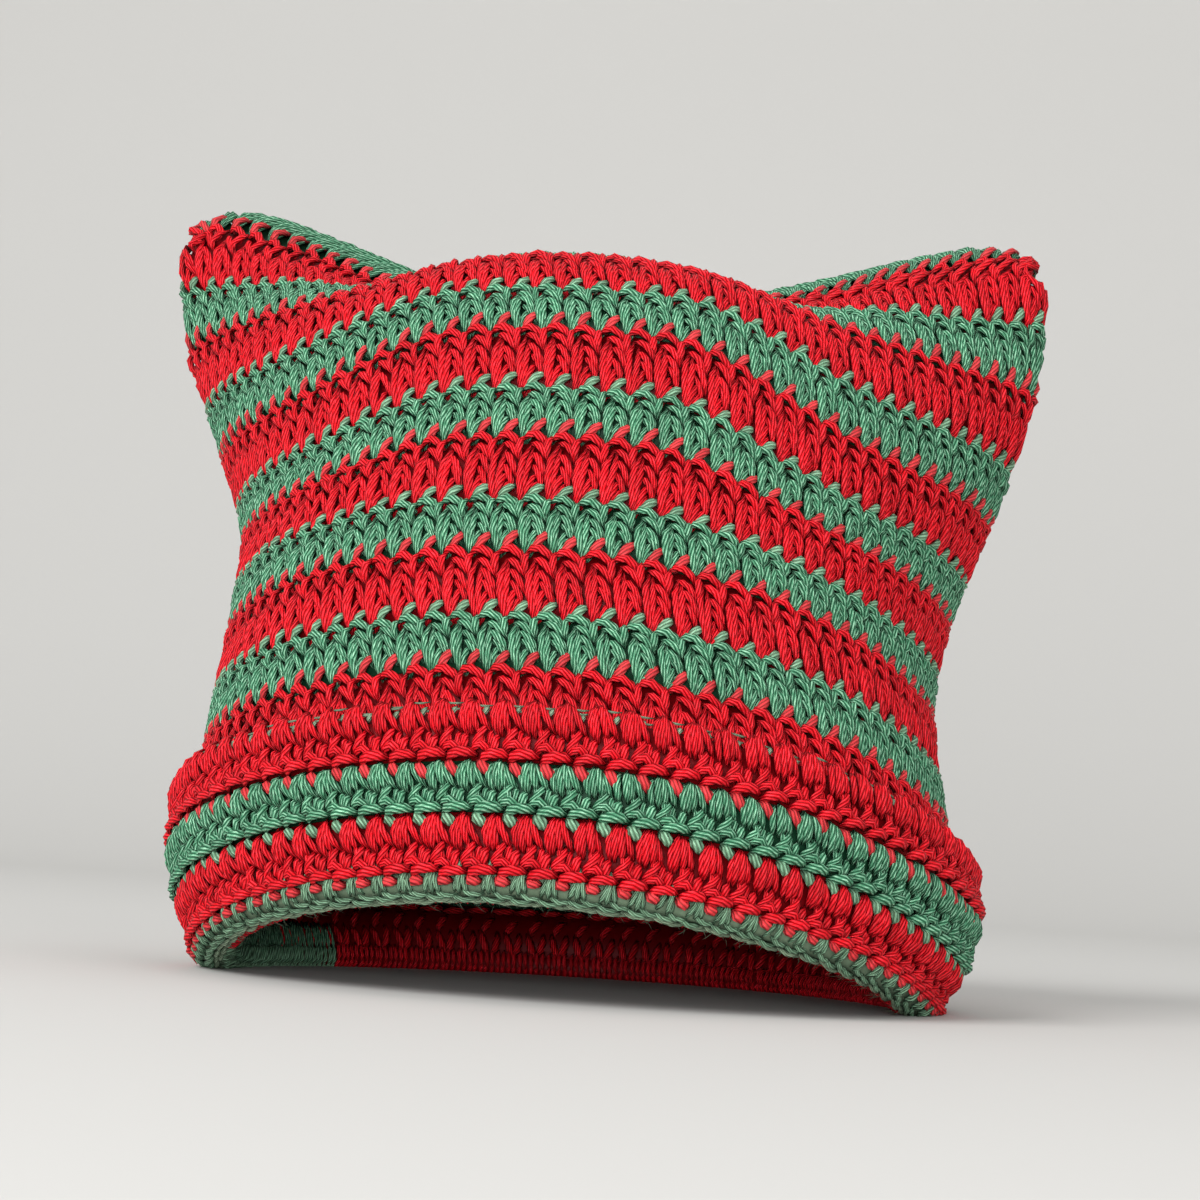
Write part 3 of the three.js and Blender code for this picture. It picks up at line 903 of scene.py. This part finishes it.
edge_threads = {
    "upper_thread": [(0.56, 0.93, 3.8), (0.78, 0.88, 4.9), (1.12, 0.92, 3.8)],
    "lower_thread": [(0.60, 0.84, 3.8), (0.84, 0.80, 4.6), (1.10, 0.85, 3.6)],
    "loop": [(0.74, 0.72, 3.6), (0.86, 0.79, 5.0), (0.92, 0.88, 3.8)],
}
thread_half_width = 0.3
thread_half_thick = 0.35
loop_half_width = 0.7
parts = []
for name, rows in edge_threads.items():
    half_width = loop_half_width if name == "loop" else thread_half_width
    parts.append(strand(
        cuff_place(2), rows, half_width, thread_half_thick, rings=4, sides=4, pale=0.9, wander=2.0,
    ))
piece("cuff_edge_threads", parts, green_yarn, [])


# Floor and backdrop
# One seamless sheet of pale grey paper that rises behind the hat in a wide curve.

floor_front = -1.6
floor_back = 1.1
floor_bend = 0.7
floor_half_width = 2.4
wall_top = 2.6


def backdrop():
    """A profile of floor, quarter circle and wall, carried from left to right."""
    turn = np.linspace(0, math.pi / 2, 24)
    bend_y = floor_back + floor_bend * np.sin(turn)
    bend_z = floor_bend * (1 - np.cos(turn))
    profile_y = np.concatenate([[floor_front], bend_y, [bend_y[-1]]])
    profile_z = np.concatenate([[0.0], bend_z, [wall_top]])
    left = np.stack([np.full_like(profile_y, -floor_half_width), profile_y, profile_z], axis=-1)
    right = left * (-1, 1, 1)
    count = len(left)
    faces = [(i, count + i, count + i + 1, i + 1) for i in range(count - 1)]
    mesh = bpy.data.meshes.new("backdrop")
    mesh.from_pydata(np.concatenate([left, right]), [], faces)
    mesh.shade_smooth()
    return bpy.data.objects.new("backdrop", mesh)


paper = bpy.data.materials.new("pale_grey_paper")
paper.use_nodes = True
paper_shader = paper.node_tree.nodes["Principled BSDF"]
paper_shader.inputs["Base Color"].default_value = linear("#c9c8c5")
paper_shader.inputs["Roughness"].default_value = 0.9
paper_shader.inputs["Specular IOR Level"].default_value = 0.2
floor = backdrop()
floor.data.materials.append(paper)
bpy.context.scene.collection.objects.link(floor)


# Light
# Soft studio light: a wide panel above on the left and in front, a weaker one on the right, and even light
# from all round.

def area_light(name, place, target, size, power):
    """A square panel of light at a place, turned towards its target."""
    data = bpy.data.lights.new(name, "AREA")
    data.size = size
    data.energy = power
    light = bpy.data.objects.new(name, data)
    light.location = place
    light.rotation_euler = (Vector(target) - Vector(place)).to_track_quat("-Z", "Y").to_euler()
    bpy.context.scene.collection.objects.link(light)


hat_middle = (0.0, 0.0, 0.11)
area_light("key_panel", (-1.3, -1.9, 1.8), hat_middle, 1.5, 62)
area_light("fill_panel", (1.4, -1.6, 0.8), hat_middle, 1.4, 10)
area_light("low_panel", (0.1, -1.6, 0.12), (0.0, 0.05, 0.02), 0.5, 16)
area_light("back_panel", (0.0, 0.6, 1.8), (0.0, 0.9, 0.3), 1.6, 5)

world = bpy.data.worlds.new("even_light")
world.use_nodes = True
world.node_tree.nodes["Background"].inputs["Color"].default_value = linear("#ffffff")
world.node_tree.nodes["Background"].inputs["Strength"].default_value = 0.55
bpy.context.scene.world = world
bpy.context.scene.view_settings.view_transform = "Standard"


# Camera
# Low, a little right of the front, close to the height of the cuff, and rolled so that the hat's right
# side lies lower in the picture, as in the photograph.

hat_turn = math.radians(8.5)
camera_roll = math.radians(3.5)
camera_aside = 0.009
camera_distance = 0.890
camera_height = 0.042
aim_height = 0.104
sensor_width = 36.0
focal_share = 3320 / 1200


def turned(across, away, height):
    """A place given across and away from the camera's point of view, in the frame's axes."""
    return Vector((
        across * math.cos(hat_turn) - away * math.sin(hat_turn),
        across * math.sin(hat_turn) + away * math.cos(hat_turn),
        height,
    ))


camera_data = bpy.data.cameras.new("camera")
camera_data.sensor_width = sensor_width
camera_data.lens = sensor_width * focal_share
camera = bpy.data.objects.new("camera", camera_data)
camera.location = turned(camera_aside, -camera_distance, camera_height)
aim = turned(camera_aside, 0.0, aim_height)
looking = (aim - camera.location).to_track_quat("-Z", "Y")
camera.rotation_mode = "QUATERNION"
camera.rotation_quaternion = looking @ Quaternion((0.0, 0.0, 1.0), camera_roll)
bpy.context.scene.collection.objects.link(camera)
bpy.context.scene.camera = camera
